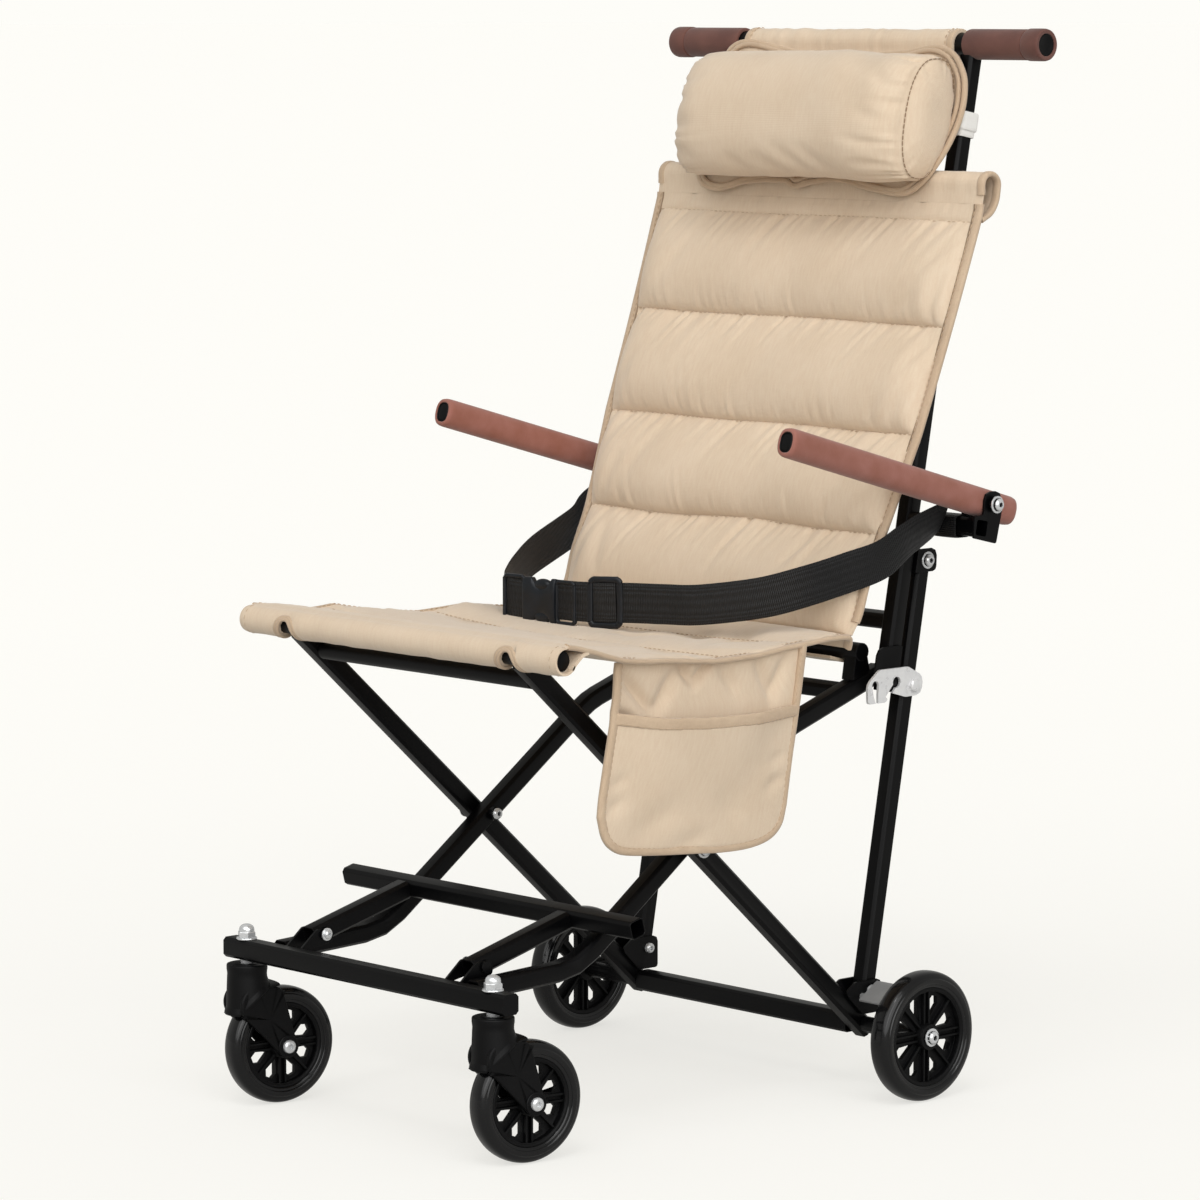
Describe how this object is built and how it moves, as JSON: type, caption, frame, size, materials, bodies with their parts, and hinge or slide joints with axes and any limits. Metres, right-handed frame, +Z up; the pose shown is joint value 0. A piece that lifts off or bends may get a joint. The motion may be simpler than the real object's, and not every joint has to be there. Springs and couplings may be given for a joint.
{
  "type": "folding transport chair",
  "caption": "Folding transport chair: cross frame of square steel tube, beige sling seat and quilted high back with head pillow, swivel casters in front, fixed wheels behind.",
  "frame": {"origin": "middle of the footprint, on the floor", "axes": "+Z up, the sitter faces -Y, +X is the sitter's left"},
  "size_m": [0.534, 0.6838, 1.0304],
  "materials": {
    "black_steel": "satin powder coat",
    "wheel_plastic": "moulded satin black",
    "tyre": "smooth glossy black",
    "bright_bolts": "bright plated",
    "latch_zinc": "satin zinc plate",
    "grey_tab": "matte grey",
    "beige_fabric": "coated woven fabric",
    "webbing": "woven nylon",
    "buckle_plastic": "satin moulded",
    "armrest_foam": "closed-cell foam",
    "handle_foam": "closed-cell foam"
  },
  "bodies": {
    "seat_frame": {"seat_front_bar": "black_steel", "under_seat_bar": "black_steel", "rear_axle_bar": "black_steel", "seat_fabric": "beige_fabric", "side_pocket": "beige_fabric", "side_rail_left": "black_steel", "side_rail_right": "black_steel", "stub_axle_left": "black_steel", "stub_axle_right": "black_steel", "leg_lug_left": "black_steel", "leg_lug_right": "black_steel"},
    "cross_frame": {"caster_bar": "black_steel", "rear_stretcher": "black_steel", "seat_rear_bar": "black_steel", "cross_rail_left": "black_steel", "cross_rail_right": "black_steel", "swivel_bolt_left": "bright_bolts", "swivel_bolt_right": "bright_bolts"},
    "footrest": {"foot_bar": "black_steel", "foot_arm_left": "black_steel", "foot_arm_right": "black_steel"},
    "leg_frame": {"rear_leg_left": "black_steel", "rear_leg_right": "black_steel", "lumbar_bar": "black_steel"},
    "back_frame": {"handlebar": "black_steel", "back_top_bar": "black_steel", "back_fabric": "beige_fabric", "pillow": "beige_fabric", "belt_left_side": "webbing", "belt_right_side": "webbing", "belt_buckle": "buckle_plastic", "back_upright_left": "black_steel", "back_upright_right": "black_steel", "handle_grip_left": "handle_foam", "handle_grip_right": "handle_foam", "latch_foot_left": "black_steel", "latch_foot_right": "black_steel", "leg_bracket_left": "black_steel", "leg_bracket_right": "black_steel", "arm_mount_left": "black_steel", "arm_mount_right": "black_steel"},
    "caster_left": {"caster_fork_left": "wheel_plastic"},
    "caster_wheel_left": {"caster_rim_left": "wheel_plastic", "caster_tyre_left": "tyre"},
    "rear_wheel_left": {"rear_rim_left": "wheel_plastic", "rear_tyre_left": "tyre"},
    "armrest_left": {"armrest_core_left": "black_steel", "armrest_foam_left": "armrest_foam"},
    "latch_left": {"latch_plate_left": "latch_zinc"},
    "brake_left": {"brake_tab_left": "grey_tab"},
    "caster_right": {"caster_fork_right": "wheel_plastic"},
    "caster_wheel_right": {"caster_rim_right": "wheel_plastic", "caster_tyre_right": "tyre"},
    "rear_wheel_right": {"rear_rim_right": "wheel_plastic", "rear_tyre_right": "tyre"},
    "armrest_right": {"armrest_core_right": "black_steel", "armrest_foam_right": "armrest_foam"},
    "latch_right": {"latch_plate_right": "latch_zinc"},
    "brake_right": {"brake_tab_right": "grey_tab"}
  },
  "joints": [
    {"name": "frame_fold", "type": "hinge", "parent": "seat_frame", "child": "cross_frame", "pos_m": [0, -0.04599, 0.26156], "axis": [1, 0, 0], "range_deg": [0, 80], "deforming": ["seat_fabric", "side_pocket", "back_fabric", "belt_left_side", "belt_right_side", "belt_buckle"]},
    {"name": "leg_fold", "type": "hinge", "parent": "seat_frame", "child": "leg_frame", "pos_m": [0, 0.1805, 0.096], "axis": [1, 0, 0], "range_deg": [0, 41]},
    {"name": "back_fold", "type": "hinge", "parent": "leg_frame", "child": "back_frame", "pos_m": [0, 0.25566, 0.514], "axis": [1, 0, 0], "range_deg": [-143.6, 0]},
    {"name": "footrest_flip", "type": "hinge", "parent": "cross_frame", "child": "footrest", "pos_m": [0, -0.284, 0.1735], "axis": [1, 0, 0], "range_deg": [0, 160]},
    {"name": "caster_swivel_left", "type": "hinge", "parent": "cross_frame", "child": "caster_left", "pos_m": [0.178, -0.3195, 0.1533], "axis": [0, 0, 1], "continuous": true},
    {"name": "caster_roll_left", "type": "hinge", "parent": "caster_left", "child": "caster_wheel_left", "pos_m": [0.18287, -0.28484, 0.0571], "axis": [0.9903, -0.1392, 0], "continuous": true},
    {"name": "rear_roll_left", "type": "hinge", "parent": "seat_frame", "child": "rear_wheel_left", "pos_m": [0.2435, 0.1755, 0.0635], "axis": [1, 0, 0], "continuous": true},
    {"name": "armrest_lift_left", "type": "hinge", "parent": "back_frame", "child": "armrest_left", "pos_m": [0.243, 0.255, 0.575], "axis": [1, 0, 0], "range_deg": [-20, 0]},
    {"name": "latch_release_left", "type": "hinge", "parent": "leg_frame", "child": "latch_left", "pos_m": [0.1726, 0.2339, 0.393], "axis": [1, 0, 0], "range_deg": [-35, 0]},
    {"name": "brake_press_left", "type": "hinge", "parent": "seat_frame", "child": "brake_left", "pos_m": [0.172, 0.1665, 0.093], "axis": [1, 0, 0], "range_deg": [-20, 0]},
    {"name": "caster_swivel_right", "type": "hinge", "parent": "cross_frame", "child": "caster_right", "pos_m": [-0.178, -0.3195, 0.1533], "axis": [0, 0, 1], "continuous": true},
    {"name": "caster_roll_right", "type": "hinge", "parent": "caster_right", "child": "caster_wheel_right", "pos_m": [-0.17313, -0.28484, 0.0571], "axis": [0.9903, -0.1392, 0], "continuous": true},
    {"name": "rear_roll_right", "type": "hinge", "parent": "seat_frame", "child": "rear_wheel_right", "pos_m": [-0.2435, 0.1755, 0.0635], "axis": [1, 0, 0], "continuous": true},
    {"name": "armrest_lift_right", "type": "hinge", "parent": "back_frame", "child": "armrest_right", "pos_m": [-0.243, 0.255, 0.575], "axis": [1, 0, 0], "range_deg": [-20, 0]},
    {"name": "latch_release_right", "type": "hinge", "parent": "leg_frame", "child": "latch_right", "pos_m": [-0.1726, 0.2339, 0.393], "axis": [1, 0, 0], "range_deg": [-35, 0]},
    {"name": "brake_press_right", "type": "hinge", "parent": "seat_frame", "child": "brake_right", "pos_m": [-0.172, 0.1665, 0.093], "axis": [1, 0, 0], "range_deg": [-20, 0]}
  ],
  "couplings": [
    {"joint": "leg_fold", "follows": "frame_fold", "ratio": 0.5123},
    {"joint": "back_fold", "follows": "frame_fold", "ratio": -1.7943}
  ]
}
